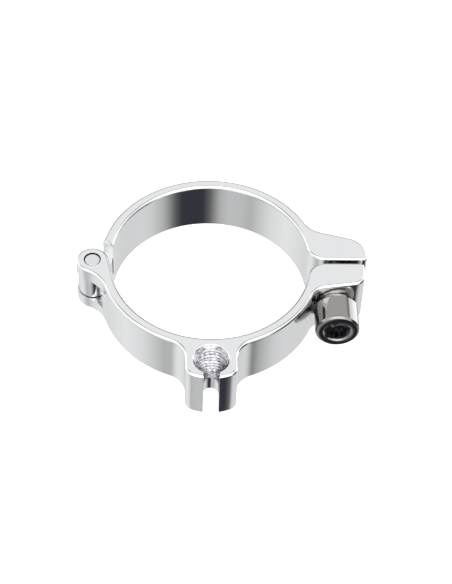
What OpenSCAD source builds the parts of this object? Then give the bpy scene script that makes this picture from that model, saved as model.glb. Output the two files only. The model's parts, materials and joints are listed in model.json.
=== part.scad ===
// Hinged tube clamp with a slotted, threaded cable-stop boss.
// Origin: centre of the clamp's bore, at mid-height. +Z runs along the tube,
// +X points to the clamp bolt, and the hinge pin lies on -X.

/* [Tube clamp] */
// Diameter of the tube that the clamp closes on
tube_d = 34.9; // [31.8:0.1:36]
// Thickness of the band's wall
band_wall = 2; // [1.8:0.1:2.4]
// Height of the band along the tube
band_h = 10.2; // [9:0.2:12]

/* [Hinge] */
// Diameter of the hinge pin
pin_d = 3; // [2.6:0.1:3.2]
// Distance from the band's outer face to the pin's axis
pin_offset = 1.3; // [1:0.1:1.6]
// Outer radius of the two hinge ears
hinge_ear_r = 2.85; // [2.7:0.05:3]
// Outer radius of the knuckle between the ears
knuckle_r = 2.6; // [2.4:0.05:2.65]
// Height of the knuckle
knuckle_h = 4.6; // [4:0.1:5]

/* [Adjuster boss] */
// Width of the boss
boss_w = 8.9; // [8.5:0.1:10]
// Distance from the band's outer face to the threaded hole's axis
boss_offset = 2.55; // [2.4:0.05:3]
// Distance from the threaded hole's axis to the boss's front
boss_front = 4.15; // [4:0.05:5]
// Diameter of the adjuster's thread
thread_d = 6; // [5:0.5:6]
// Thickness of the floor under the threaded hole
floor_t = 2.95; // [2:0.05:4]
// Width of the cable slot
slot_w = 2.7; // [2:0.1:3]

/* [Bolt ears] */
// Distance from the band's outer face to the clamp bolt's axis
bolt_offset = 2.75; // [2.6:0.05:3.2]
// Gap between the two ears
ear_gap = 0.8; // [0.6:0.1:1]
// Thickness of the front ear at the bolt
front_ear_t = 5.35; // [5:0.05:6]
// Thickness of the rear ear at the bolt
rear_ear_t = 6; // [5.6:0.1:6.4]

/* [Clamp bolt] */
// Nominal diameter of the bolt's thread
bolt_d = 5; // [4:0.5:5]
// Diameter of the bolt's head
head_d = 7.8; // [7.5:0.1:8.5]
// Height of the bolt's head
head_h = 5.3; // [4.5:0.1:6]
// Width across the lobes of the driver socket
socket_d = 4.5; // [4:0.1:4.6]
// Outer diameter of the washer
washer_d = 6.4; // [6.2:0.1:7.2]
// Thickness of the washer
washer_t = 0.95; // [0.8:0.05:1.2]

/* [Hidden] */
$fn = 96;
cut = 1;
bore_r = tube_d / 2;
band_r = bore_r + band_wall;
half_h = band_h / 2;

// Hinge: the slots are wider than what turns in them
pin_x = -(band_r + pin_offset);
pin_r = pin_d / 2;
pin_at = [pin_x, 0];
pin_run = 0.05;
hinge_face_gap = 0.1;
web_r = 5.35;
rear_end_r = 4.5;
pin_recess = 0.15;
hinge_blend = 6;
neck_blend = 3;
web_lap = 0.01;
rear_wall_end = 175;
knuckle_root = 155;

// Boss
hole_y = -(band_r + boss_offset);
thread_r = thread_d / 2;
lead_in = 0.15;
floor_z = -half_h + floor_t;
cable_r = slot_w / 2 + 0.05;
boss_blend = 4;
boss_corner = 1.9;
boss_crown = 9;

// Ears: the gap lies a little to the front of the bore's centre
gap_y = -0.1;
front_face = ear_gap / 2 - gap_y;
rear_face = ear_gap / 2 + gap_y;
bolt_x = band_r + bolt_offset;
ear_end = bolt_x + 5;
ear_taper = 8;
ear_blend = 3;
ear_corner = 2.2;
rear_ear_end = bolt_x + 5.65;
rear_taper = 16;
rear_blend = 4;
rear_corner = 4;
lip_r = 3.2;
nose_r = 0.5;
seat_y = -(front_face + front_ear_t);
seat_r = 4;
seat_reach = 6;

// Bolt: the threads are plain cylinders, thin enough for the clamp to open
bolt_r = bolt_d / 2;
shank_r = bolt_r - 0.4;
tip_chamfer = 0.4;
head_chamfer = 0.35;
bolt_clear_r = bolt_r + 0.15;
head_y = seat_y - washer_t;
bolt_tip_y = 5;
socket_depth = 2.8;

function polar(c, r, a) = [c[0] + r * cos(a), c[1] + r * sin(a)];
function arc(c, r, a0, a1, n) = [for (i = [0 : n]) polar(c, r, a0 + (a1 - a0) * i / n)];
function angle_of(v) = atan2(v[1], v[0]);

// Centre of the arc of radius rb that touches the band's outer circle and
// a circle of radius r about the pin, on the side where y is positive
function blend_centre(r, rb) =
    let (far = pow(band_r + rb, 2), near = pow(r + rb, 2))
    let (x = (pin_x * pin_x + far - near) / (2 * pin_x))
    [x, sqrt(far - x * x)];

// Sector of the band's wall between two angles less than 180 degrees apart
module wall_sector(a0, a1) {
    mid = (a0 + a1) / 2;
    far = 3 * band_r;
    intersection() {
        difference() {
            circle(r = band_r, $fn = 200);
            circle(r = bore_r, $fn = 200);
        }
        polygon([[0, 0], polar([0, 0], far, a0), polar([0, 0], 1.5 * far, mid), polar([0, 0], far, a1)]);
    }
}

// Hinge end: a disc about the pin that runs into the band. Its bore side is
// the line that touches both the disc and the bore. The web's corners lie
// just inside the disc and the wall, so that the parts overlap cleanly.
module hinge_web(r, rb) {
    f = blend_centre(r, rb);
    lean = acos((bore_r + r) / -pin_x);
    a_band = angle_of(-f);
    a_disc = angle_of(pin_at - f);
    step = (a_disc - a_band) / 10;
    polygon(concat(
        [pin_at,
         polar(pin_at, r - web_lap, -lean),
         polar([0, 0], bore_r + web_lap, 180 - lean),
         polar([0, 0], band_r - band_wall / 2, angle_of(f)),
         polar([0, 0], band_r - web_lap, angle_of(f))],
        arc(f, rb, a_band + step, a_disc - step, 8),
        [polar(pin_at, r - web_lap, a_disc + 180)]));
    translate(pin_at) circle(r = r);
}

// Bolt ear, drawn on the side where y is positive. Its outer wall tapers
// towards the end, an arc blends it into the band, and its corners are round.
module bolt_ear_2d(face, t, taper, end_x, blend, corner) {
    along = [cos(taper), -sin(taper)];
    out = [sin(taper), cos(taper)];
    wall = [bolt_x, face + t];
    b = wall + blend * out;
    bu = b * along;
    f = b + (-bu + sqrt(bu * bu - b * b + pow(band_r + blend, 2))) * along;
    cx = end_x - corner;
    cy = wall[1] - corner / cos(taper) - tan(taper) * (cx - bolt_x);
    lip_x = sqrt(pow(bore_r + lip_r, 2) - pow(face + lip_r, 2));
    lip = [lip_x, face + lip_r];
    polygon(concat(
        [polar([0, 0], band_r - band_wall / 2, angle_of(f))],
        arc(lip, lip_r, 180 + angle_of(lip), 270, 8),
        arc([end_x - nose_r, face + nose_r], nose_r, 270, 360, 4),
        arc([cx, cy], corner, 0, 90 - taper, 10),
        arc(f, blend, 270 - taper, 180 + angle_of(f), 10)));
}

function lip_angle(face) = asin((face + lip_r) / (bore_r + lip_r));

module boss_2d() {
    w = boss_w / 2;
    fx = w + boss_blend;
    fy = sqrt(pow(band_r + boss_blend, 2) - fx * fx);
    a = 180 + atan2(fy, fx);
    crown_y = -hole_y + boss_front - boss_crown;
    cx = w - boss_corner;
    rise = sqrt(pow(boss_crown - boss_corner, 2) - cx * cx);
    turn = atan2(rise, cx);
    polygon(concat(
        arc([fx, fy], boss_blend, a, 180, 10),
        arc([cx, crown_y + rise], boss_corner, 0, turn, 8),
        arc([0, crown_y], boss_crown, turn, 180 - turn, 12),
        arc([-cx, crown_y + rise], boss_corner, 180 - turn, 180, 8),
        arc([-fx, fy], boss_blend, 0, 180 - a, 10)));
}

// Front half, drawn on the side where y is positive
module front_2d() {
    lean = acos((bore_r + hinge_ear_r) / -pin_x);
    wall_sector(lip_angle(front_face), 180 - lean);
    hinge_web(hinge_ear_r, hinge_blend);
    bolt_ear_2d(front_face, front_ear_t, ear_taper, ear_end, ear_blend, ear_corner);
    boss_2d();
}

module front_band() {
    color([0.88, 0.89, 0.9])
    difference() {
        rotate([180, 0, 0]) linear_extrude(height = band_h, center = true) front_2d();
        // clevis slot for the knuckle, and the pin's holes
        translate([pin_x, 0, 0])
            cylinder(r = web_r, h = knuckle_h + 2 * hinge_face_gap, center = true);
        translate([pin_x, 0, 0])
            cylinder(r = pin_r, h = band_h + cut, center = true);
        // threaded hole with its lead-in, the cable's hole and the slot
        translate([0, hole_y, floor_z])
            cylinder(r = thread_r, h = band_h);
        translate([0, hole_y, half_h - lead_in])
            cylinder(r1 = thread_r, r2 = thread_r + 2 * lead_in, h = 2 * lead_in);
        translate([0, hole_y, 0])
            cylinder(r = cable_r, h = band_h + cut, center = true);
        translate([-slot_w / 2, hole_y - boss_front - cut, -half_h - cut])
            cube([slot_w, boss_front + cut, band_h + 2 * cut]);
        // clearance hole of the bolt and the flat seat of its washer
        translate([bolt_x, 0, 0]) rotate([90, 0, 0])
            cylinder(r = bolt_clear_r, h = cut - seat_y);
        translate([bolt_x, seat_y, 0]) rotate([90, 0, 0])
            cylinder(r = seat_r, h = seat_reach);
    }
}

module rear_band() {
    lean = acos((bore_r + knuckle_r) / -pin_x);
    color([0.88, 0.89, 0.9])
    difference() {
        union() {
            linear_extrude(height = band_h, center = true)
            difference() {
                union() {
                    wall_sector(lip_angle(rear_face), rear_wall_end);
                    bolt_ear_2d(rear_face, rear_ear_t, rear_taper, rear_ear_end, rear_blend, rear_corner);
                }
                translate(pin_at) circle(r = rear_end_r);
            }
            linear_extrude(height = knuckle_h, center = true) {
                hinge_web(knuckle_r, neck_blend);
                wall_sector(knuckle_root, 180 - lean);
            }
        }
        translate([pin_x, 0, 0])
            cylinder(r = pin_r + pin_run, h = band_h, center = true);
        translate([bolt_x, 0, 0]) rotate([-90, 0, 0])
            cylinder(r = bolt_r, h = 2 * rear_ear_t);
    }
}

// Plain pin, pressed in flush with a small recess at each end
module hinge_pin() {
    color([0.82, 0.86, 0.88])
    translate([pin_x, 0, 0])
        cylinder(r = pin_r, h = band_h - 2 * pin_recess, center = true);
}

// Six-lobe driver recess, as a star of round lobes with flutes between them
module socket_2d() {
    lobe_r = socket_d * 0.09;
    core_r = socket_d * 0.43;
    flute_r = socket_d * 0.2;
    flute_at = socket_d * 0.56;
    turn = 15;
    difference() {
        circle(r = core_r);
        for (a = [30 : 60 : 330])
            rotate(a + turn) translate([flute_at, 0]) circle(r = flute_r);
    }
    for (a = [0 : 60 : 300])
        rotate(a + turn) translate([socket_d / 2 - lobe_r, 0]) circle(r = lobe_r);
}

module clamp_bolt() {
    color([0.55, 0.56, 0.57])
    translate([bolt_x, head_y, 0]) rotate([90, 0, 0])
    difference() {
        rotate_extrude()
            polygon([
                [0, head_y - bolt_tip_y], [shank_r - tip_chamfer, head_y - bolt_tip_y],
                [shank_r, head_y - bolt_tip_y + tip_chamfer], [shank_r, 0],
                [head_d / 2, 0], [head_d / 2, head_h - head_chamfer],
                [head_d / 2 - head_chamfer, head_h], [0, head_h]]);
        translate([0, 0, head_h - socket_depth])
            linear_extrude(height = socket_depth + cut) socket_2d();
    }
}

module bolt_washer() {
    color([0.6, 0.61, 0.62])
    translate([bolt_x, seat_y, 0]) rotate([90, 0, 0])
    difference() {
        cylinder(r = washer_d / 2, h = washer_t);
        translate([0, 0, -cut]) cylinder(r = bolt_clear_r, h = washer_t + 2 * cut);
    }
}

front_band();
rear_band();
hinge_pin();
clamp_bolt();
bolt_washer();
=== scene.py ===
"""Hinged tube clamp with a slotted, threaded cable-stop boss.

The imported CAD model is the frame: each piece below is worked out with numpy
from its nodes' boxes and from the sizes in the property groups, and stands
for one CAD node. Surfaces are in millimetres until put_mesh scales them.
"""

import json
import math

import bmesh
import bpy
import numpy as np
from mathutils import Matrix, Vector


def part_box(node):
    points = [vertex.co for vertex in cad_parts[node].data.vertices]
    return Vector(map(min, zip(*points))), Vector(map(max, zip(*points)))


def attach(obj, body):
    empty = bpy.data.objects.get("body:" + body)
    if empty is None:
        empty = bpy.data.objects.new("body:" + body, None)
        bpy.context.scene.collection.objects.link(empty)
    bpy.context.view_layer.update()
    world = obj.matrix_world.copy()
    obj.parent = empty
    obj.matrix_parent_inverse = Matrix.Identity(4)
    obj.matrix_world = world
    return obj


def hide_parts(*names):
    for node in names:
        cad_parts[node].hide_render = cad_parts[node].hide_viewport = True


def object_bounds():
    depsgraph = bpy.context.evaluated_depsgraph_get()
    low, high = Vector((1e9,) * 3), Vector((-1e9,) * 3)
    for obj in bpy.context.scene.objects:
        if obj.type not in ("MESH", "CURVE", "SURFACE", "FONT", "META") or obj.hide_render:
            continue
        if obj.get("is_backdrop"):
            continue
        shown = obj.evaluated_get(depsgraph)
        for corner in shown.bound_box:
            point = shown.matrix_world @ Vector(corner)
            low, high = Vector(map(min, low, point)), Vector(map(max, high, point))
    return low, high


bl_info = {
    "name": "Hinged tube clamp",
    "version": (1, 0, 0),
    "blender": (4, 5, 0),
    "location": "View3D > Sidebar > Tube clamp",
    "description": "Builds a hinged tube clamp with a threaded cable-stop boss",
    "category": "Add Mesh",
}

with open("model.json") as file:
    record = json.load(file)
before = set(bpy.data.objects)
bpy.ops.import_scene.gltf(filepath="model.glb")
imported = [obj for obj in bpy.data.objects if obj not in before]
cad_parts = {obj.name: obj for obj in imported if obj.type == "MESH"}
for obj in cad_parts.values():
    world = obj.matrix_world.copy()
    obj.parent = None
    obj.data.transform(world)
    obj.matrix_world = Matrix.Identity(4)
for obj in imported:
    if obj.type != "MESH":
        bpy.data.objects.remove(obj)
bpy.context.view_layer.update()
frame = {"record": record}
MM = 0.001
CLAMP = next(m for m in frame["record"]["mounts"] if m["name"] == "tube_clamp")
THREAD = next(m for m in frame["record"]["mounts"] if m["name"] == "adjuster_thread")


def corners(node):
    """Lowest and highest corner of a CAD node's box, in millimetres."""
    low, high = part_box(node)
    return np.array(low) / MM, np.array(high) / MM


FRONT_LOW, FRONT_HIGH = corners("front_band")
REAR_LOW, REAR_HIGH = corners("rear_band")
PIN_LOW, PIN_HIGH = corners("hinge_pin")
BOLT_LOW, BOLT_HIGH = corners("clamp_bolt")
WASHER_LOW, WASHER_HIGH = corners("bolt_washer")

# Bore, band, hinge, bolt and boss, from the mounts and the boxes
BORE_R = CLAMP["dims"]["r_mm"]
BAND_R = REAR_HIGH[1]
HALF_H = FRONT_HIGH[2]
PIN_X = (PIN_LOW[0] + PIN_HIGH[0]) / 2
PIN_R = (PIN_HIGH[0] - PIN_LOW[0]) / 2
EAR_R = PIN_X - FRONT_LOW[0]
KNUCKLE_R = PIN_X - REAR_LOW[0]
BOLT_X = (BOLT_LOW[0] + BOLT_HIGH[0]) / 2
SEAT_Y = WASHER_HIGH[1]
HEAD_Y = WASHER_LOW[1]
HOLE_Y = THREAD["pos_m"][1] / MM
THREAD_R = THREAD["dims"]["r_mm"]
LEAD_IN = 0.15
FLOOR_Z = HALF_H - LEAD_IN - THREAD["dims"]["length_mm"]
BOSS_Y = FRONT_LOW[1]

# Sizes that the nodes' boxes don't give, in millimetres and degrees
FRONT_FACE = 0.5
REAR_FACE = 0.3
LIP_R = 3.2
NOSE_R = 0.6
FRONT_EAR = {
    "face": FRONT_FACE,
    "thickness": -SEAT_Y - FRONT_FACE,
    "taper": 8,
    "end_x": FRONT_HIGH[0],
    "blend": 3,
    "corner": 2.2,
}
REAR_EAR = {
    "face": REAR_FACE,
    "thickness": 6,
    "taper": 16,
    "end_x": REAR_HIGH[0],
    "blend": 4,
    "corner": 4,
}
BOSS_HALF_WIDTH = 4.45
BOSS_FLARE = 4.0
BOSS_CORNER = 1.9
BOSS_CROWN = 9.0
HINGE_BLEND = 6
NECK_BLEND = 3
CABLE_RUN = 0.05
PIN_RUN = 0.05
BOLT_CLEAR_R = 2.65
SEAT_R = 4.0
SEAT_REACH = 6

# Fineness of the meshes: largest chord and turn of an arc, and steps per
# rounded edge and per turn of a turned body
CHORD = 0.35
ARC_TURN = 6
EDGE_STEPS = 6
AROUND = 96
PIN_AROUND = 72
BOLT_AROUND = 144
CLEVIS_AROUND = 160

# Colour inputs and output of a Mix node, by their numbers
MIX_A = 6
MIX_B = 7
MIX_RESULT = 2


def linear(hex_colour):
    """sRGB hex value to a linear RGBA colour."""
    parts = [int(hex_colour[i : i + 2], 16) / 255 for i in (0, 2, 4)]
    return tuple(c / 12.92 if c <= 0.04045 else ((c + 0.055) / 1.055) ** 2.4 for c in parts) + (1.0,)


def millimetres(name, description, value):
    """A length property whose default is given in millimetres."""
    return bpy.props.FloatProperty(
        name=name, description=description, default=value * MM, unit="LENGTH", precision=5
    )


def colour(name, description, hex_colour):
    """A colour property whose default is given as an sRGB hex value."""
    return bpy.props.FloatVectorProperty(
        name=name, description=description, default=linear(hex_colour), size=4, subtype="COLOR", min=0, max=1
    )


class ClampSizes(bpy.types.PropertyGroup):
    """Edge rounds and threads, which the CAD model leaves out, and sizes of slots and ends."""

    edge_round: millimetres("Edge round", "Radius of the bands' outer edges", 0.55)
    gap_round: millimetres("Gap edge round", "Radius of the edges along the ears' gap", 0.42)
    ledge_round: millimetres("Ledge round", "Radius of the edges inside the clevis", 0.07)
    end_round: millimetres("End round", "Radius of the edges at the rear band's hinge end", 0.12)
    slot_width: millimetres("Slot width", "Width of the cable slot", 2.7)
    slot_flare: millimetres("Slot flare", "Radius of the cable slot's edges", 0.2)
    knuckle_half: millimetres("Knuckle half height", "Half the height of the knuckle", 2.22)
    clevis_half: millimetres("Clevis half height", "Half the height of the clevis slot", 2.44)
    clevis_r: millimetres("Clevis radius", "Radius of the clevis slot about the pin", 5.35)
    rear_end_r: millimetres("Rear end radius", "Radius of the rear band's end about the pin", 4.5)
    adjuster_pitch: millimetres("Adjuster pitch", "Pitch of the boss's thread", 0.8)
    bolt_pitch: millimetres("Bolt pitch", "Pitch of the clamp bolt's thread", 0.8)
    socket_d: millimetres("Socket size", "Width across the lobes of the driver socket", 4.5)
    socket_depth: millimetres("Socket depth", "Depth of the driver socket", 2.8)


class ClampFinish(bpy.types.PropertyGroup):
    """Colours of the clamp's metals."""

    aluminium: colour("Aluminium", "Colour of the polished bands", "F1F2F3")
    pin_steel: colour("Pin steel", "Colour of the hinge pin", "EEF4F6")
    bolt_steel: colour("Bolt steel", "Colour of the clamp bolt and its washer", "A2A09E")
    thread_aluminium: colour("Thread aluminium", "Colour of the cut thread in the boss", "D6D5DB")
    # The pin's flanks wear a dark colour as painted shade of the narrow gap round the pin in its hole.
    pin_flank_shade: colour("Pin flank shade", "Colour of the pin's flanks, darkened as painted shade of the gap round the pin", "4A4C52")
    # The socket's steel is darker than the bolt's: painted shade inside the driver socket.
    socket_painted_shade: colour("Socket painted shade", "Colour inside the bolt's driver socket", "8A878C")


# ---- outlines -------------------------------------------------------------


def polar(centre, radius, degrees):
    """Points at a radius and at angles about a centre: centre + radius (cos, sin)."""
    a = np.radians(np.atleast_1d(np.asarray(degrees, float)))
    return np.stack([centre[0] + radius * np.cos(a), centre[1] + radius * np.sin(a)], axis=-1)


def arc(centre, radius, start, end):
    """Points along a circular arc, no further apart than CHORD or ARC_TURN."""
    sweep = abs(end - start)
    steps = max(2, math.ceil(sweep / ARC_TURN), math.ceil(math.radians(sweep) * radius / CHORD))
    return polar(centre, radius, np.linspace(start, end, steps + 1))


def angle_of(v):
    """Direction of a vector in degrees."""
    return math.degrees(math.atan2(v[1], v[0]))


def blend_centre(r, rb):
    """Centre of the arc of radius rb that touches the band and a disc r about the pin."""
    far, near = (BAND_R + rb) ** 2, (r + rb) ** 2
    x = (PIN_X**2 + far - near) / (2 * PIN_X)
    return np.array([x, math.sqrt(far - x * x)])


def closed_path(stretches):
    """Joins (points, first round, last round) stretches into one outline.

    Returns the points and the edge round at each of them, which runs evenly
    from the first to the last value along a stretch. Repeated points go.
    """
    points = np.concatenate([p for p, _, _ in stretches])
    rounds = np.concatenate([np.linspace(a, b, len(p)) for p, a, b in stretches])
    gap = np.linalg.norm(points - np.roll(points, 1, axis=0), axis=1)
    same_point = 1e-6
    keep = gap > same_point
    return points[keep], rounds[keep]


def outward(points):
    """Outward mitre vector at each point of a counter-clockwise outline.

    It halves the angle between the two sides' normals, and is as long as it
    must be for both sides to move out by one.
    """
    ahead = np.roll(points, -1, axis=0) - points
    ahead /= np.linalg.norm(ahead, axis=1, keepdims=True)
    behind = np.roll(ahead, 1, axis=0)
    n1 = np.stack([behind[:, 1], -behind[:, 0]], axis=1)
    n2 = np.stack([ahead[:, 1], -ahead[:, 0]], axis=1)
    n = n1 + n2
    return 2 * n / np.sum(n * n, axis=1, keepdims=True)


def bolt_ear(face, thickness, taper, end_x, blend, corner, edge, gap_edge):
    """Stretches of a bolt ear where y is positive, from the bore to the band's outer face.

    The lip arc leaves the bore and meets the gap face; a nose arc turns into
    the end wall, a corner arc into the tapered outer wall, and an arc of the
    blend's radius touches that wall and the band's outer circle. The angles
    at which the ear leaves the bore and the outer circle are returned too.
    """
    t = math.radians(taper)
    along = np.array([math.cos(t), -math.sin(t)])
    out = np.array([math.sin(t), math.cos(t)])
    b = np.array([BOLT_X, face + thickness]) + blend * out
    bu = b @ along
    f = b + (-bu + math.sqrt(bu * bu - b @ b + (BAND_R + blend) ** 2)) * along
    cx = end_x - corner
    cy = face + thickness - corner / math.cos(t) - math.tan(t) * (cx - BOLT_X)
    lip = np.array([math.sqrt((BORE_R + LIP_R) ** 2 - (face + LIP_R) ** 2), face + LIP_R])
    a_f = angle_of(f)
    stretches = [
        (arc(lip, LIP_R, 180 + angle_of(lip), 270), edge, gap_edge),
        (arc([end_x - NOSE_R, face + NOSE_R], NOSE_R, 270, 360), gap_edge, edge),
        (arc([cx, cy], corner, 0, 90 - taper), edge, edge),
        (arc(f, blend, 270 - taper, 180 + a_f), edge, edge),
    ]
    return stretches, angle_of(lip), a_f


def front_outline(size):
    """The front band's outline: bolt ear, band, boss, band, hinge disc and bore.

    It is worked out where y is positive and then turned over to -Y.
    """
    edge = size.edge_round / MM
    ear, a_lip, a_ear = bolt_ear(**FRONT_EAR, edge=edge, gap_edge=size.gap_round / MM)
    fx = BOSS_HALF_WIDTH + BOSS_FLARE
    fy = math.sqrt((BAND_R + BOSS_FLARE) ** 2 - fx * fx)
    a_boss = angle_of([fx, fy])
    cx = BOSS_HALF_WIDTH - BOSS_CORNER
    crown_y = -BOSS_Y - BOSS_CROWN
    rise = math.sqrt((BOSS_CROWN - BOSS_CORNER) ** 2 - cx * cx)
    turn = angle_of([cx, rise])
    f = blend_centre(EAR_R, HINGE_BLEND)
    a_f, a_disc = angle_of(f), angle_of([PIN_X - f[0], -f[1]])
    lean = math.degrees(math.acos((BORE_R + EAR_R) / -PIN_X))
    o = np.zeros(2)
    points, rounds = closed_path(
        ear
        + [
            (arc(o, BAND_R, a_ear, a_boss), edge, edge),
            (arc([fx, fy], BOSS_FLARE, 180 + a_boss, 180), edge, edge),
            (arc([cx, crown_y + rise], BOSS_CORNER, 0, turn), edge, edge),
            (arc([0, crown_y], BOSS_CROWN, turn, 180 - turn), edge, edge),
            (arc([-cx, crown_y + rise], BOSS_CORNER, 180 - turn, 180), edge, edge),
            (arc([-fx, fy], BOSS_FLARE, 0, -a_boss), edge, edge),
            (arc(o, BAND_R, 180 - a_boss, a_f), edge, edge),
            (arc(f, HINGE_BLEND, a_f - 180, a_disc), edge, edge),
            (arc([PIN_X, 0], EAR_R, a_disc + 180, 360 - lean), edge, edge),
            (arc(o, BORE_R, 180 - lean, a_lip), edge, edge),
        ]
    )
    return (points * [1, -1])[::-1], rounds[::-1]


def rear_outline(size):
    """The rear band's full-height outline, with an end that is hollow about the pin.

    The hollow end's arc meets the band's outer circle and the bore where the
    law of cosines says, and over the last few degrees before it the edge
    round fades into the end's own.
    """
    fade = 3
    edge, end = size.edge_round / MM, size.end_round / MM
    ear, a_lip, a_ear = bolt_ear(**REAR_EAR, edge=edge, gap_edge=size.gap_round / MM)
    r = size.rear_end_r / MM
    circles = (BAND_R, BORE_R)
    where = [180 - math.degrees(math.acos((s * s + PIN_X**2 - r * r) / (-2 * s * PIN_X))) for s in circles]
    turn = [angle_of(polar([-PIN_X, 0], s, a)[0]) for s, a in zip(circles, where)]
    o = np.zeros(2)
    return closed_path(
        ear
        + [
            (arc(o, BAND_R, a_ear, where[0] - fade), edge, edge),
            (arc(o, BAND_R, where[0] - fade, where[0]), edge, end),
            (arc([PIN_X, 0], r, turn[0], turn[1]), end, end),
            (arc(o, BORE_R, where[1], where[1] - fade), end, edge),
            (arc(o, BORE_R, where[1] - fade, a_lip), edge, edge),
        ]
    )


def tongue_outline(size):
    """The knuckle's outline: a disc about the pin that runs into the rear band's wall.

    Its root ends inside the wall: short of the bore along the line that
    touches the disc and the bore, and at some depth under the outer face.
    """
    reach, depth, root = 0.85, 0.7, 4
    f = blend_centre(KNUCKLE_R, NECK_BLEND)
    a_band, a_disc = angle_of(-f), angle_of([PIN_X - f[0], -f[1]])
    lean = math.degrees(math.acos((BORE_R + KNUCKLE_R) / -PIN_X))
    disc = arc([PIN_X, 0], KNUCKLE_R, a_disc + 180, 360 - lean)
    bore = polar([0, 0], BORE_R, 180 - lean)[0]
    inside = disc[-1] + reach * (bore - disc[-1])
    wall = polar([0, 0], BAND_R - depth, angle_of(inside))
    soft = size.end_round / MM
    return closed_path(
        [
            (arc(f, NECK_BLEND, a_band + root, a_disc), soft, soft),
            (disc, soft, soft),
            (np.array([inside]), soft, soft),
            (wall, soft, soft),
        ]
    )


# ---- meshes ---------------------------------------------------------------


def grid_faces(rows, cols, close_rows=False):
    """Quads of a rows x cols grid of points, closed round its columns and, if asked, its rows."""
    r = np.arange(rows if close_rows else rows - 1)
    i, j = np.meshgrid(r, np.arange(cols), indexing="ij")
    i2, j2 = (i + 1) % rows, (j + 1) % cols
    return np.stack([i * cols + j, i * cols + j2, i2 * cols + j2, i2 * cols + j], axis=-1).reshape(-1, 4)


def put_mesh(name, points, faces, caps=()):
    """A new object from points in millimetres, quads and cap polygons, facing outwards."""
    mesh = bpy.data.meshes.new(name)
    mesh.from_pydata((points * MM).tolist(), [], faces.tolist() + [list(c) for c in caps])
    bm = bmesh.new()
    bm.from_mesh(mesh)
    bmesh.ops.recalc_face_normals(bm, faces=bm.faces)
    bm.to_mesh(mesh)
    bm.free()
    obj = bpy.data.objects.new(name, mesh)
    bpy.context.scene.collection.objects.link(obj)
    return obj


def plate(name, points, rounds, half, groove=None, base=None):
    """A plate of an outline with rounded edges.

    A point of the surface is the outline's point moved inwards by r (1 - cos a)
    at height half - r (1 - sin a), where a runs from 0 at the wall to 90
    degrees at the face. A groove (depth at each point, height, round) rounds
    the wall inwards at plus and minus its height. A negative round flares out,
    and a base makes the plate that much longer beyond each face.
    """
    n = outward(points)
    a = np.radians(np.linspace(90, 0, EDGE_STEPS + 1))[:, None]
    size = np.abs(rounds)
    inset, z = rounds * (1 - np.cos(a)), half - size * (1 - np.sin(a))
    if base is not None:
        inset, z = np.vstack([inset[:1], inset]), np.vstack([z[:1] + base, z])
    if groove is not None:
        depth, height, r = groove
        groove_steps, lap = 4, 0.02
        b = np.radians(np.linspace(0, 90, groove_steps))[:, None]
        inset = np.vstack([inset, depth * (1 - np.cos(b))])
        z = np.vstack([z, np.broadcast_to(height - lap + r * (1 - np.sin(b)), (groove_steps, len(points)))])
    inset, z = np.vstack([inset, inset[::-1]]), np.vstack([z, -z[::-1]])
    xy = points - n * inset[:, :, None]
    grid = np.concatenate([xy, z[:, :, None]], axis=2)
    rows, cols = z.shape
    caps = [range(cols), range((rows - 1) * cols, rows * cols)]
    return put_mesh(name, grid.reshape(-1, 3), grid_faces(rows, cols), caps)


def turned(name, centre, axis, radius, height, around=AROUND):
    """A closed turned body: radius and height at each step of its profile, round an axis.

    radius is an array of profile steps, or of steps x angles where it changes
    round the axis. The first and last step are closed with a cap.
    """
    angle = np.linspace(0, 2 * np.pi, around, endpoint=False)
    if np.ndim(radius) == 1:
        radius = np.asarray(radius)[:, None]
    radius = np.broadcast_to(radius, (len(radius), around))
    height = np.broadcast_to(np.asarray(height)[:, None], radius.shape)
    u, v = radius * np.cos(angle), radius * np.sin(angle)
    if axis == "Z":
        grid = np.stack([centre[0] + u, centre[1] + v, height], axis=-1)
    else:
        grid = np.stack([centre[0] + u, height, centre[1] + v], axis=-1)
    rows = len(radius)
    caps = [range(around), range((rows - 1) * around, rows * around)]
    return put_mesh(name, grid.reshape(-1, 3), grid_faces(rows, around), caps)


def thread_wave(height, pitch, around=AROUND):
    """Height of a thread's flank from 0 at the root to 1 at the crest, for each height and angle.

    It is a triangle wave of height / pitch + turn, made steeper and then
    flattened at both ends.
    """
    steep, cut = 1.5, 0.25
    turn = np.linspace(0, 1, around, endpoint=False)[None, :]
    phase = (np.asarray(height)[:, None] / pitch + turn) % 1.0
    return np.clip(steep * (2 * np.abs(phase - 0.5)) - cut, 0, 1)


def cut_away(obj, cutters, operation="DIFFERENCE"):
    """Takes closed cutters out of a piece, or joins them to it, one after the other."""
    for cutter in cutters:
        tool = obj.modifiers.new("cut", "BOOLEAN")
        tool.operation = operation
        tool.solver = "EXACT"
        tool.object = cutter
        bpy.context.view_layer.update()
        result = bpy.data.meshes.new_from_object(obj.evaluated_get(bpy.context.evaluated_depsgraph_get()))
        obj.modifiers.remove(tool)
        obj.data = result
        bpy.data.objects.remove(cutter)


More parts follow.
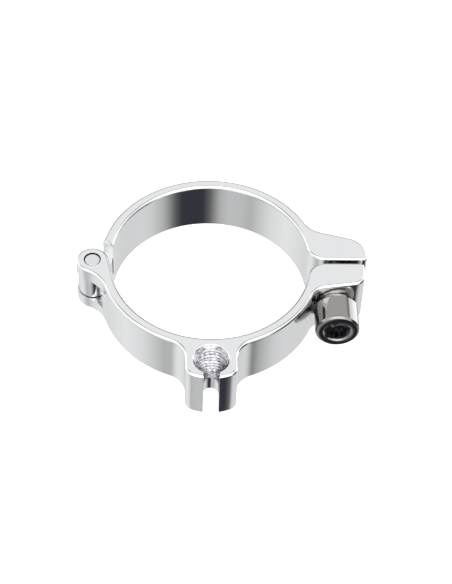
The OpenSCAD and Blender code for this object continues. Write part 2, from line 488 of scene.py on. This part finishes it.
def finish_piece(obj, body, node, material, inner=(), sharp=32.0):
    """Shades a piece, gives it its material and puts it in the place of its CAD node.

    inner lists further materials, each with a test of the face centres in
    millimetres that says which faces wear it. Edges that turn by more than
    sharp degrees stay sharp.
    """
    same_place = 1e-7
    bm = bmesh.new()
    bm.from_mesh(obj.data)
    bmesh.ops.remove_doubles(bm, verts=bm.verts, dist=same_place)
    bmesh.ops.dissolve_degenerate(bm, edges=bm.edges, dist=same_place)
    for edge in bm.edges:
        edge.smooth = not (len(edge.link_faces) == 2 and edge.calc_face_angle() > math.radians(sharp))
    for face in bm.faces:
        face.smooth = True
    bm.to_mesh(obj.data)
    bm.free()
    obj.data.materials.clear()
    obj.data.materials.append(material)
    centres = np.empty(3 * len(obj.data.polygons))
    obj.data.polygons.foreach_get("center", centres)
    centres = centres.reshape(-1, 3).T / MM
    slots = np.zeros(centres.shape[1], np.int32)
    for other, test in inner:
        obj.data.materials.append(other)
        slots[test(*centres)] = len(obj.data.materials) - 1
    obj.data.polygons.foreach_set("material_index", slots)
    weighted = obj.modifiers.new("weighted normals", "WEIGHTED_NORMAL")
    weighted.keep_sharp = True
    weighted.mode = "FACE_AREA"
    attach(obj, body)
    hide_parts(node)


# ---- materials ------------------------------------------------------------


def add(tree, kind, settings=(), links=()):
    """Adds a node with its settings and with links into its inputs, given by name or number."""
    node = tree.nodes.new(kind)
    for key, value in dict(settings).items():
        if isinstance(key, int) or key in node.inputs:
            node.inputs[key].default_value = value
        else:
            setattr(node, key, value)
    for key, source in dict(links).items():
        tree.links.new(source, node.inputs[key])
    return node


def new_material(name):
    """An empty node material with its tree."""
    material = bpy.data.materials.new(name)
    material.use_nodes = True
    material.node_tree.nodes.clear()
    return material, material.node_tree


def polished_aluminium(colour_value, name):
    """Tumbled, polished and clear anodised aluminium.

    A near mirror: reflections stay sharp but ripple, because the polish
    leaves a faint orange peel 0.55 mm wide. Tumbling marks are drawn 0.2 mm
    wide, coarser than they are, so that they show.
    """
    material, tree = new_material(name)
    place = add(tree, "ShaderNodeTexCoord").outputs["Object"]
    peel = add(
        tree,
        "ShaderNodeTexNoise",
        {"Scale": 1 / (0.55 * MM), "Detail": 3.0, "Roughness": 0.6},
        {"Vector": place},
    )
    marks = add(
        tree,
        "ShaderNodeTexNoise",
        {"Scale": 1 / (0.2 * MM), "Detail": 3.0, "Roughness": 0.6},
        {"Vector": place},
    )
    tone = add(
        tree,
        "ShaderNodeMapRange",
        {"From Min": 0.3, "From Max": 0.7, "To Min": 0.07, "To Max": 0.15},
        {"Value": marks.outputs["Fac"]},
    )
    ripple = add(
        tree, "ShaderNodeBump", {"Strength": 0.25, "Distance": 0.004 * MM}, {"Height": peel.outputs["Fac"]}
    )
    scratch = add(
        tree,
        "ShaderNodeBump",
        {"Strength": 0.4, "Distance": 0.0035 * MM},
        {"Height": marks.outputs["Fac"], "Normal": ripple.outputs["Normal"]},
    )
    shader = add(
        tree,
        "ShaderNodeBsdfPrincipled",
        {"Base Color": colour_value, "Metallic": 1.0},
        {"Roughness": tone.outputs["Result"], "Normal": scratch.outputs["Normal"]},
    )
    add(tree, "ShaderNodeOutputMaterial", {}, {"Surface": shader.outputs["BSDF"]})
    return material


def cut_metal(colour_value, name, rough, darkest):
    """Metal as the cutter left it, with dirt in it. On the pin's flanks and in the bolt's socket its colour
    is painted shade.

    It looks satin: torn flecks 0.12 mm wide break up the shine, and stains
    0.6 mm wide darken it. darkest is the share of the colour that is left in
    the deepest stain.
    """
    material, tree = new_material(name)
    place = add(tree, "ShaderNodeTexCoord").outputs["Object"]
    flecks = add(
        tree,
        "ShaderNodeTexNoise",
        {"Scale": 1 / (0.12 * MM), "Detail": 4.0, "Roughness": 0.7},
        {"Vector": place},
    )
    stain = add(
        tree,
        "ShaderNodeTexNoise",
        {"Scale": 1 / (0.6 * MM), "Detail": 4.0, "Roughness": 0.6},
        {"Vector": place},
    )
    depth = add(
        tree,
        "ShaderNodeMapRange",
        {"From Min": 0.35, "From Max": 0.6, "To Min": darkest, "To Max": 1.0},
        {"Value": stain.outputs["Fac"]},
    )
    tint = add(
        tree,
        "ShaderNodeVectorMath",
        {"operation": "SCALE", 0: colour_value[:3]},
        {"Scale": depth.outputs["Result"]},
    )
    bump = add(
        tree, "ShaderNodeBump", {"Strength": 0.6, "Distance": 0.02 * MM}, {"Height": flecks.outputs["Fac"]}
    )
    shader = add(
        tree,
        "ShaderNodeBsdfPrincipled",
        {"Metallic": 1.0, "Roughness": rough},
        {"Base Color": tint.outputs["Vector"], "Normal": bump.outputs["Normal"]},
    )
    add(tree, "ShaderNodeOutputMaterial", {}, {"Surface": shader.outputs["BSDF"]})
    return material


def fine_steel(colour_value, name, low, high):
    """Turned, ground or stamped stainless steel.

    The shine is slightly cloudy: marks 0.2 mm wide, coarser than real tool
    marks so that they show, move the roughness between low and high.
    """
    material, tree = new_material(name)
    place = add(tree, "ShaderNodeTexCoord").outputs["Object"]
    marks = add(
        tree,
        "ShaderNodeTexNoise",
        {"Scale": 1 / (0.2 * MM), "Detail": 3.0, "Roughness": 0.65},
        {"Vector": place},
    )
    tone = add(
        tree,
        "ShaderNodeMapRange",
        {"From Min": 0.3, "From Max": 0.7, "To Min": low, "To Max": high},
        {"Value": marks.outputs["Fac"]},
    )
    bump = add(
        tree, "ShaderNodeBump", {"Strength": 0.3, "Distance": 0.002 * MM}, {"Height": marks.outputs["Fac"]}
    )
    shader = add(
        tree,
        "ShaderNodeBsdfPrincipled",
        {"Base Color": colour_value, "Metallic": 1.0},
        {"Roughness": tone.outputs["Result"], "Normal": bump.outputs["Normal"]},
    )
    add(tree, "ShaderNodeOutputMaterial", {}, {"Surface": shader.outputs["BSDF"]})
    return material


def white_board():
    """Matt white board, lit so that it stays almost free of shadows."""
    material, tree = new_material("white board")
    shader = add(
        tree,
        "ShaderNodeBsdfPrincipled",
        {
            "Base Color": linear("FFFFFF"),
            "Roughness": 0.9,
            "Emission Color": linear("FFFFFF"),
            "Emission Strength": 0.75,
        },
    )
    add(tree, "ShaderNodeOutputMaterial", {}, {"Surface": shader.outputs["BSDF"]})
    return material


# ---- pieces ---------------------------------------------------------------


def cable_cutter(size):
    """Cutter of the cable slot: a U about the hole's axis, flared at its mouth and at both faces."""
    slot = size.slot_width / MM / 2
    flare = size.slot_flare / MM
    mouth = BOSS_Y
    outside, base = 2, 0.5
    u_shape = [
        (arc([0, HOLE_Y], slot + CABLE_RUN, 0, 180), -flare, -flare),
        (arc([-slot - flare, mouth + flare], flare, 0, -90), -flare, -flare),
        (np.array([[-slot - flare, mouth - outside], [slot + flare, mouth - outside]]), -flare, -flare),
        (arc([slot + flare, mouth + flare], flare, 270, 180), -flare, -flare),
    ]
    return plate("cable_cutter", *closed_path(u_shape), HALF_H, base=base)


def boss_thread(size):
    """Cutter of the boss's threaded hole: the thread's wave, or the lead-in's cone where that is wider."""
    pitch = size.adjuster_pitch / MM
    steps_per_turn, thread_depth, past = 14, 0.4, 0.3
    z = np.arange(FLOOR_Z, HALF_H + past, pitch / steps_per_turn)
    countersink = THREAD_R + LEAD_IN + z[:, None] - HALF_H
    radius = np.maximum(THREAD_R - thread_depth * thread_wave(z, pitch), countersink)
    return turned("boss_thread_cutter", (0, HOLE_Y), "Z", radius, z)


class CLAMP_OT_front_band(bpy.types.Operator):
    """Front half of the clamp, with its boss, hinge ears and bolt ear"""

    bl_idname = "clamp.front_band"
    bl_label = "Front band"

    def execute(self, context):
        size, finish = context.scene.clamp_sizes, context.scene.clamp_finish
        points, rounds = front_outline(size)
        ledge = size.ledge_round / MM
        clevis = size.clevis_r / MM
        half = size.clevis_half / MM
        fade = 0.4
        reach = np.linalg.norm(points - [PIN_X, 0], axis=1)
        depth = ledge * np.clip((clevis - reach) / fade, 0, 1)
        body = plate("front_band_polished", points, rounds, HALF_H, groove=(depth, half, ledge))
        past = 0.2
        gap = turned("clevis_cutter", (PIN_X, 0), "Z", [clevis, clevis], [-half, half], around=CLEVIS_AROUND)
        through = HALF_H + past
        pin_hole = turned(
            "pin_hole_cutter", (PIN_X, 0), "Z", [PIN_R, PIN_R], [-through, through], around=PIN_AROUND
        )
        clear, far, lead = BOLT_CLEAR_R, -12.0, 0.25
        bolt_hole = turned(
            "bolt_hole_cutter",
            (BOLT_X, 0),
            "Y",
            [clear + lead, clear, clear],
            [lead - FRONT_FACE, -FRONT_FACE - LEAD_IN, far],
        )
        seat = turned("seat_cutter", (BOLT_X, 0), "Y", [SEAT_R, SEAT_R], [SEAT_Y, SEAT_Y - SEAT_REACH])
        cut_away(body, [gap, pin_hole, boss_thread(size), cable_cutter(size), bolt_hole, seat])
        polished = polished_aluminium(finish.aluminium, "polished aluminium, front")
        threaded = cut_metal(finish.thread_aluminium, "cut aluminium thread", rough=0.2, darkest=0.3)
        milled = cut_metal(finish.aluminium, "milled aluminium", rough=0.25, darkest=0.5)
        hole_r, hole_z = THREAD_R + 0.02, FLOOR_Z + 0.05
        slot_r, slot_z = clevis + 0.01, half + 0.01
        inner = [
            (threaded, lambda x, y, z: (np.hypot(x, y - HOLE_Y) < hole_r) & (z > hole_z)),
            (milled, lambda x, y, z: (np.hypot(x - PIN_X, y) < slot_r) & (np.abs(z) < slot_z)),
        ]
        finish_piece(body, "front", "front_band", polished, inner)
        return {"FINISHED"}


def ear_thread(size):
    """Cutter of the rear ear's threaded hole: the thread's wave, after a conical lead-in at the gap."""
    pitch = size.bolt_pitch / MM
    steps_per_turn, root_r, thread_depth = 12, 2.75, 0.25
    lead, lead_end, far = 0.35, 0.3, 9
    y = np.arange(REAR_FACE + lead_end, far, pitch / steps_per_turn)
    mouth = np.array([root_r + lead, root_r])[:, None] + np.zeros((1, AROUND))
    radius = np.vstack([mouth, root_r - thread_depth * thread_wave(y, pitch)])
    height = np.concatenate([[REAR_FACE - lead, REAR_FACE], y])
    return turned("bolt_thread_cutter", (BOLT_X, 0), "Y", radius, height)


class CLAMP_OT_rear_band(bpy.types.Operator):
    """Rear half of the clamp, with its knuckle and threaded bolt ear"""

    bl_idname = "clamp.rear_band"
    bl_label = "Rear band"

    def execute(self, context):
        size, finish = context.scene.clamp_sizes, context.scene.clamp_finish
        body = plate("rear_band_polished", *rear_outline(size), HALF_H)
        knuckle = plate("knuckle", *tongue_outline(size), size.knuckle_half / MM)
        cut_away(body, [knuckle], "UNION")
        run, reach = PIN_R + PIN_RUN, 4
        pin_hole = turned(
            "pin_hole_cutter", (PIN_X, 0), "Z", [run, run], [-reach, reach], around=PIN_AROUND
        )
        cut_away(body, [pin_hole, ear_thread(size)])
        polished = polished_aluminium(finish.aluminium, "polished aluminium, rear")
        finish_piece(body, "rear", "rear_band", polished)
        return {"FINISHED"}


class CLAMP_OT_hinge_pin(bpy.types.Operator):
    """Plain pin with chamfered ends, pressed into the hinge ears"""

    bl_idname = "clamp.hinge_pin"
    bl_label = "Hinge pin"

    def execute(self, context):
        finish = context.scene.clamp_finish
        end = PIN_HIGH[2]
        # A narrow chamfer, a turned-down end and a step up to the pin's full radius
        taper = np.array([0.27, 0.23, 0.21, 0.01])
        drop = np.array([0.0, 0.03, 0.6, 0.7])
        radius = PIN_R - np.concatenate([taper, taper[::-1]])
        height = np.concatenate([drop - end, end - drop[::-1]])
        body = turned("hinge_pin_ground", (PIN_X, 0), "Z", radius, height, around=PIN_AROUND)
        ground = fine_steel(finish.pin_steel, "ground stainless steel", low=0.18, high=0.3)
        # Painted shade: the flanks below the end chamfer wear a dark steel for the shade in the gap round
        # the pin.
        flank_shade = cut_metal(finish.pin_flank_shade, "pin flank steel, painted shade", rough=0.35, darkest=0.8)
        flank = end - 0.04
        inner = [(flank_shade, lambda x, y, z: np.abs(z) < flank)]
        finish_piece(body, "front", "hinge_pin", ground, inner)
        return {"FINISHED"}


def bolt_profile(size):
    """Radius and height at each step of the bolt, from its tip to the bottom of its socket.

    The shank's radius follows the thread's wave, the head's front edge is a
    quarter round, and the socket's radius is a cosine with six lobes.
    """
    lobes, lobe_depth, lobe_turn = 6, 0.3, 15
    root_r, thread_depth, steps_per_turn = 1.9, 0.3, 12
    neck_r, neck, chamfer, edge = 2.1, 1.1, 0.25, 0.62
    tip_r, axis_r, air = 1.5, 0.02, 0.02
    rim_r, bevel_r, bevel, mouth_r = 2.62, 2.5, 0.04, 2.3
    mouth_at, star_at = 0.28, 0.34
    cone_r, cone_at, cone_end = 1.2, 0.25, 0.45
    front, tip, back = BOLT_LOW[1], BOLT_HIGH[1], HEAD_Y - air
    head_r = BOLT_HIGH[0] - BOLT_X
    depth = size.socket_depth / MM
    pitch = size.bolt_pitch / MM
    angle = np.linspace(0, 2 * np.pi, BOLT_AROUND, endpoint=False)[None, :]
    swell = np.cos(lobes * (angle - math.radians(lobe_turn)))
    star = size.socket_d / MM / 2 - lobe_depth + lobe_depth * swell
    thread_start, thread_end = tip - 0.5, HEAD_Y + neck + 0.1
    y = np.arange(thread_start, thread_end, -pitch / steps_per_turn)
    crown = np.radians(np.linspace(0, 90, EDGE_STEPS))[:, None]
    ring = np.zeros((1, BOLT_AROUND))
    shoulder = np.array([[neck_r], [neck_r], [head_r - chamfer], [head_r]])
    steps = [
        (np.array([[axis_r], [tip_r]]) + ring, [tip, tip]),
        (root_r + thread_depth * thread_wave(y, pitch, BOLT_AROUND), y),
        (shoulder + ring, [HEAD_Y + neck, back, back, back - chamfer]),
        (head_r - edge * (1 - np.cos(crown)) + ring, (front + edge * (1 - np.sin(crown)))[:, 0]),
        (np.array([[rim_r], [bevel_r]]) + ring, [front, front + bevel]),
        (np.maximum(star, mouth_r), [front + mouth_at]),
        (star, [front + star_at]),
        (star, [front + depth]),
        (np.array([[cone_r], [axis_r]]) + ring, [front + depth + cone_at, front + depth + cone_end]),
    ]
    return np.vstack([r for r, _ in steps]), np.concatenate([h for _, h in steps])


class CLAMP_OT_clamp_bolt(bpy.types.Operator):
    """Screw with a cylindrical head, a six-lobe socket and a threaded shank"""

    bl_idname = "clamp.clamp_bolt"
    bl_label = "Clamp bolt"

    def execute(self, context):
        size, finish = context.scene.clamp_sizes, context.scene.clamp_finish
        radius, height = bolt_profile(size)
        body = turned("clamp_bolt_turned", (BOLT_X, 0), "Y", radius, height, around=BOLT_AROUND)
        steel = fine_steel(finish.bolt_steel, "turned stainless steel", low=0.06, high=0.14)
        # Painted shade: the socket's faces wear a darker steel for the shade inside the driver socket.
        socket_shade = cut_metal(finish.socket_painted_shade, "socket steel, painted shade", rough=0.25, darkest=0.6)
        socket_r = 2.3
        mouth, bottom = BOLT_LOW[1] + 0.3, BOLT_LOW[1] + size.socket_depth / MM + 1
        inner = [
            (socket_shade, lambda x, y, z: (np.hypot(x - BOLT_X, z) < socket_r) & (y > mouth) & (y < bottom))
        ]
        finish_piece(body, "bolt", "clamp_bolt", steel, inner)
        return {"FINISHED"}


class CLAMP_OT_bolt_washer(bpy.types.Operator):
    """Flat washer with rounded rims between the bolt's head and the front ear"""

    bl_idname = "clamp.bolt_washer"
    bl_label = "Bolt washer"

    def execute(self, context):
        finish = context.scene.clamp_finish
        # The section is a rectangle whose two outer corners are quarter rounds
        outer, rim = WASHER_HIGH[0] - BOLT_X, 0.2
        turn = np.radians(np.linspace(0, 90, 5))
        low_rim = [outer - rim + rim * np.sin(turn), HEAD_Y + rim - rim * np.cos(turn)]
        high_rim = [outer - rim + rim * np.cos(turn), SEAT_Y - rim + rim * np.sin(turn)]
        hole = [[BOLT_CLEAR_R, BOLT_CLEAR_R], [SEAT_Y, HEAD_Y]]
        radius, height = np.concatenate([low_rim, high_rim, hole], axis=1)
        angle = np.linspace(0, 2 * np.pi, AROUND, endpoint=False)
        grid = np.stack(
            [
                BOLT_X + radius[:, None] * np.cos(angle),
                np.broadcast_to(height[:, None], (len(height), AROUND)),
                radius[:, None] * np.sin(angle),
            ],
            axis=-1,
        )
        faces = grid_faces(len(radius), AROUND, close_rows=True)
        body = put_mesh("bolt_washer_stamped", grid.reshape(-1, 3), faces)
        stamped = fine_steel(finish.bolt_steel, "stamped stainless steel", low=0.15, high=0.28)
        finish_piece(body, "washer", "bolt_washer", stamped)
        return {"FINISHED"}


# ---- stage ----------------------------------------------------------------


# Brightness (or colour) of the room by direction, in degrees. Above, 0 is
# behind the clamp, 90 straight up and 180 before it. Below, 0 is before the
# clamp, 90 at the bolt's side and -90 at the hinge's side.
DEEP_SHADE = (0.036, 0.036, 0.048)
UPPER_STOPS = [
    (-180, 0.4), (180, 0.4), (0, 0.25), (30, 0.3), (40, 0.88), (58, 0.91),
    (62, 0.14), (76, 0.14), (82, 2.0), (160, 2.0), (172, 0.4),
]
LOWER_STOPS = [
    (-180, 0.75), (180, 0.75), (-150, 0.72), (-100, 0.86), (-76, 0.78), (-60, 0.62),
    (-48, 0.48), (-38, 0.55), (-22, 0.57), (-12, 0.48), (0, 0.13), (8, DEEP_SHADE),
    (34, DEEP_SHADE), (42, 0.12), (56, 0.46), (72, 0.66), (88, 0.72), (120, 0.7),
]
# Round panels: direction, outer and inner half angle in degrees, and what
# each adds. The last one is a black card, which takes light away.
PANELS = [
    ((0.75, 0.64, -0.12), 28, 20, (1.6, 1.6, 1.6)),
    ((-0.75, 0.64, 0.1), 24, 14, (1.0, 1.0, 1.05)),
    ((0.97, -0.22, -0.05), 26, 18, (-2.2, -2.2, -2.2)),
]
WALL_COLOUR = (0.02, 0.02, 0.025)


def direction_ramp(tree, above, beside, stops):
    """A colour ramp over the angle whose tangent is above / beside, from its (degrees, value) stops."""
    turn = add(tree, "ShaderNodeMath", {"operation": "ARCTAN2"}, {0: above, 1: beside})
    share = add(
        tree,
        "ShaderNodeMapRange",
        {"From Min": -math.pi, "From Max": math.pi},
        {"Value": turn.outputs["Value"]},
    )
    node = add(tree, "ShaderNodeValToRGB", {}, {"Fac": share.outputs["Result"]})
    elements = node.color_ramp.elements
    for i, (degrees, value) in enumerate(stops):
        position = (degrees + 180) / 360
        element = elements[i] if i < 2 else elements.new(position)
        element.position = position
        element.color = (*np.broadcast_to(value, 3), 1)
    return node.outputs["Color"]


def studio_world():
    """Soft studio light: broad white panels with narrow dark gaps between them.

    Above, the panels run along X, so brightness follows the direction's angle
    in the YZ plane, and both ends of the room open into white. Below, upright
    panels stand round the clamp, so it follows the compass direction. Both are
    colour ramps on an arctangent. Each round panel is added where the
    direction's dot product with its own is high, and nothing gets darker than
    the walls.
    """
    world = bpy.data.worlds.new("studio")
    bpy.context.scene.world = world
    world.use_nodes = True
    tree = world.node_tree
    tree.nodes.clear()
    direction = add(tree, "ShaderNodeTexCoord").outputs["Generated"]
    way = add(tree, "ShaderNodeSeparateXYZ", {}, {"Vector": direction})
    x, y, z = (way.outputs[k] for k in "XYZ")
    before = add(tree, "ShaderNodeMath", {"operation": "MULTIPLY", 1: -1.0}, {0: y})
    upper = direction_ramp(tree, z, y, UPPER_STOPS)
    lower = direction_ramp(tree, x, before.outputs["Value"], LOWER_STOPS)

    reach = add(tree, "ShaderNodeMath", {"operation": "ABSOLUTE"}, {0: x})
    wide = add(
        tree, "ShaderNodeMapRange", {"From Min": 0.36, "From Max": 0.62}, {"Value": reach.outputs["Value"]}
    )
    high = add(tree, "ShaderNodeMapRange", {"From Min": 0.55, "From Max": 0.48}, {"Value": y})
    both = add(
        tree,
        "ShaderNodeMath",
        {"operation": "MULTIPLY"},
        {0: wide.outputs["Result"], 1: high.outputs["Result"]},
    )
    ends = add(
        tree,
        "ShaderNodeMix",
        {"data_type": "RGBA", MIX_B: (1.1, 1.1, 1.1, 1)},
        {"Factor": both.outputs["Value"], MIX_A: upper},
    )
    side = add(tree, "ShaderNodeMapRange", {"From Min": -0.06, "From Max": 0.06}, {"Value": z})
    room = add(
        tree,
        "ShaderNodeMix",
        {"data_type": "RGBA"},
        {"Factor": side.outputs["Result"], MIX_A: lower, MIX_B: ends.outputs[MIX_RESULT]},
    )

    total = room.outputs[MIX_RESULT]
    for toward, outer, inner, strength in PANELS:
        near = add(
            tree,
            "ShaderNodeVectorMath",
            {"operation": "DOT_PRODUCT", 1: Vector(toward).normalized()},
            {0: direction},
        )
        panel = add(
            tree,
            "ShaderNodeMapRange",
            {"From Min": math.cos(math.radians(outer)), "From Max": math.cos(math.radians(inner))},
            {"Value": near.outputs["Value"]},
        )
        lit = add(
            tree,
            "ShaderNodeVectorMath",
            {"operation": "MULTIPLY_ADD", 1: strength},
            {0: panel.outputs["Result"], 2: total},
        )
        total = lit.outputs["Vector"]
    walls = add(tree, "ShaderNodeVectorMath", {"operation": "MAXIMUM", 1: WALL_COLOUR}, {0: total})
    light = add(tree, "ShaderNodeBackground", {"Strength": 1.0}, {"Color": walls.outputs["Vector"]})
    add(tree, "ShaderNodeOutputWorld", {}, {"Surface": light.outputs["Background"]})


class CLAMP_OT_stage(bpy.types.Operator):
    """Plain pale floor, soft studio light and the camera"""

    bl_idname = "clamp.stage"
    bl_label = "Stage"

    def execute(self, context):
        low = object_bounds()[0]
        half_side, air = 1.5, 0.0002
        z = (low[2] - air) / MM
        corners_xy = np.array([[-1, -1, 0], [1, -1, 0], [1, 1, 0], [-1, 1, 0]], float)
        square = corners_xy * half_side / MM + [0, 0, z]
        floor = put_mesh("floor", square, np.array([[0, 1, 2, 3]]))
        floor.data.materials.append(white_board())
        floor.visible_glossy = False
        floor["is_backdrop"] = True
        studio_world()
        place_camera(context.scene)
        context.scene.view_settings.view_transform = "Standard"
        return {"FINISHED"}


def place_camera(scene):
    """Camera above the boss, turned slightly to the hinge side and rolled a little."""
    rise, swing, roll = math.radians(50.21), math.radians(-2.7), 0.041675
    distance, right_shift, up_shift = 316.66 * MM, -3.0118 * MM, 2.2827 * MM
    back = Vector((math.sin(swing) * math.cos(rise), -math.cos(swing) * math.cos(rise), math.sin(rise)))
    right = Vector((math.cos(swing), math.sin(swing), 0))
    up = back.cross(right)
    place = back * distance - right * right_shift - up * up_shift
    rolled_right = right * math.cos(roll) + up * math.sin(roll)
    rolled_up = up * math.cos(roll) - right * math.sin(roll)
    data = bpy.data.cameras.new("camera")
    data.lens = 109.4
    data.sensor_width = 36.0
    camera = bpy.data.objects.new("camera", data)
    scene.collection.objects.link(camera)
    turn = Matrix((rolled_right, rolled_up, back)).transposed().to_4x4()
    camera.matrix_world = Matrix.Translation(place) @ turn
    scene.camera = camera


class CLAMP_PT_panel(bpy.types.Panel):
    """Lists the clamp's pieces in the sidebar"""

    bl_label = "Tube clamp"
    bl_idname = "CLAMP_PT_panel"
    bl_space_type = "VIEW_3D"
    bl_region_type = "UI"
    bl_category = "Tube clamp"

    def draw(self, context):
        for piece in PIECES:
            self.layout.operator(piece.bl_idname)
        for group in (context.scene.clamp_sizes, context.scene.clamp_finish):
            for key in group.bl_rna.properties.keys():
                if key not in ("rna_type", "name"):
                    self.layout.prop(group, key)


PIECES = [
    CLAMP_OT_front_band,
    CLAMP_OT_rear_band,
    CLAMP_OT_hinge_pin,
    CLAMP_OT_clamp_bolt,
    CLAMP_OT_bolt_washer,
    CLAMP_OT_stage,
]
CLASSES = [ClampSizes, ClampFinish, *PIECES, CLAMP_PT_panel]


def register():
    """Registers the classes and hangs both property groups on the scene."""
    for cls in CLASSES:
        bpy.utils.register_class(cls)
    bpy.types.Scene.clamp_sizes = bpy.props.PointerProperty(type=ClampSizes)
    bpy.types.Scene.clamp_finish = bpy.props.PointerProperty(type=ClampFinish)


def unregister():
    """Undoes register."""
    del bpy.types.Scene.clamp_finish
    del bpy.types.Scene.clamp_sizes
    for cls in reversed(CLASSES):
        bpy.utils.unregister_class(cls)


def main():
    """Builds every piece and the stage."""
    register()
    bpy.ops.clamp.front_band()
    bpy.ops.clamp.rear_band()
    bpy.ops.clamp.hinge_pin()
    bpy.ops.clamp.clamp_bolt()
    bpy.ops.clamp.bolt_washer()
    bpy.ops.clamp.stage()
    bpy.context.view_layer.update()


if __name__ == "__main__":
    main()
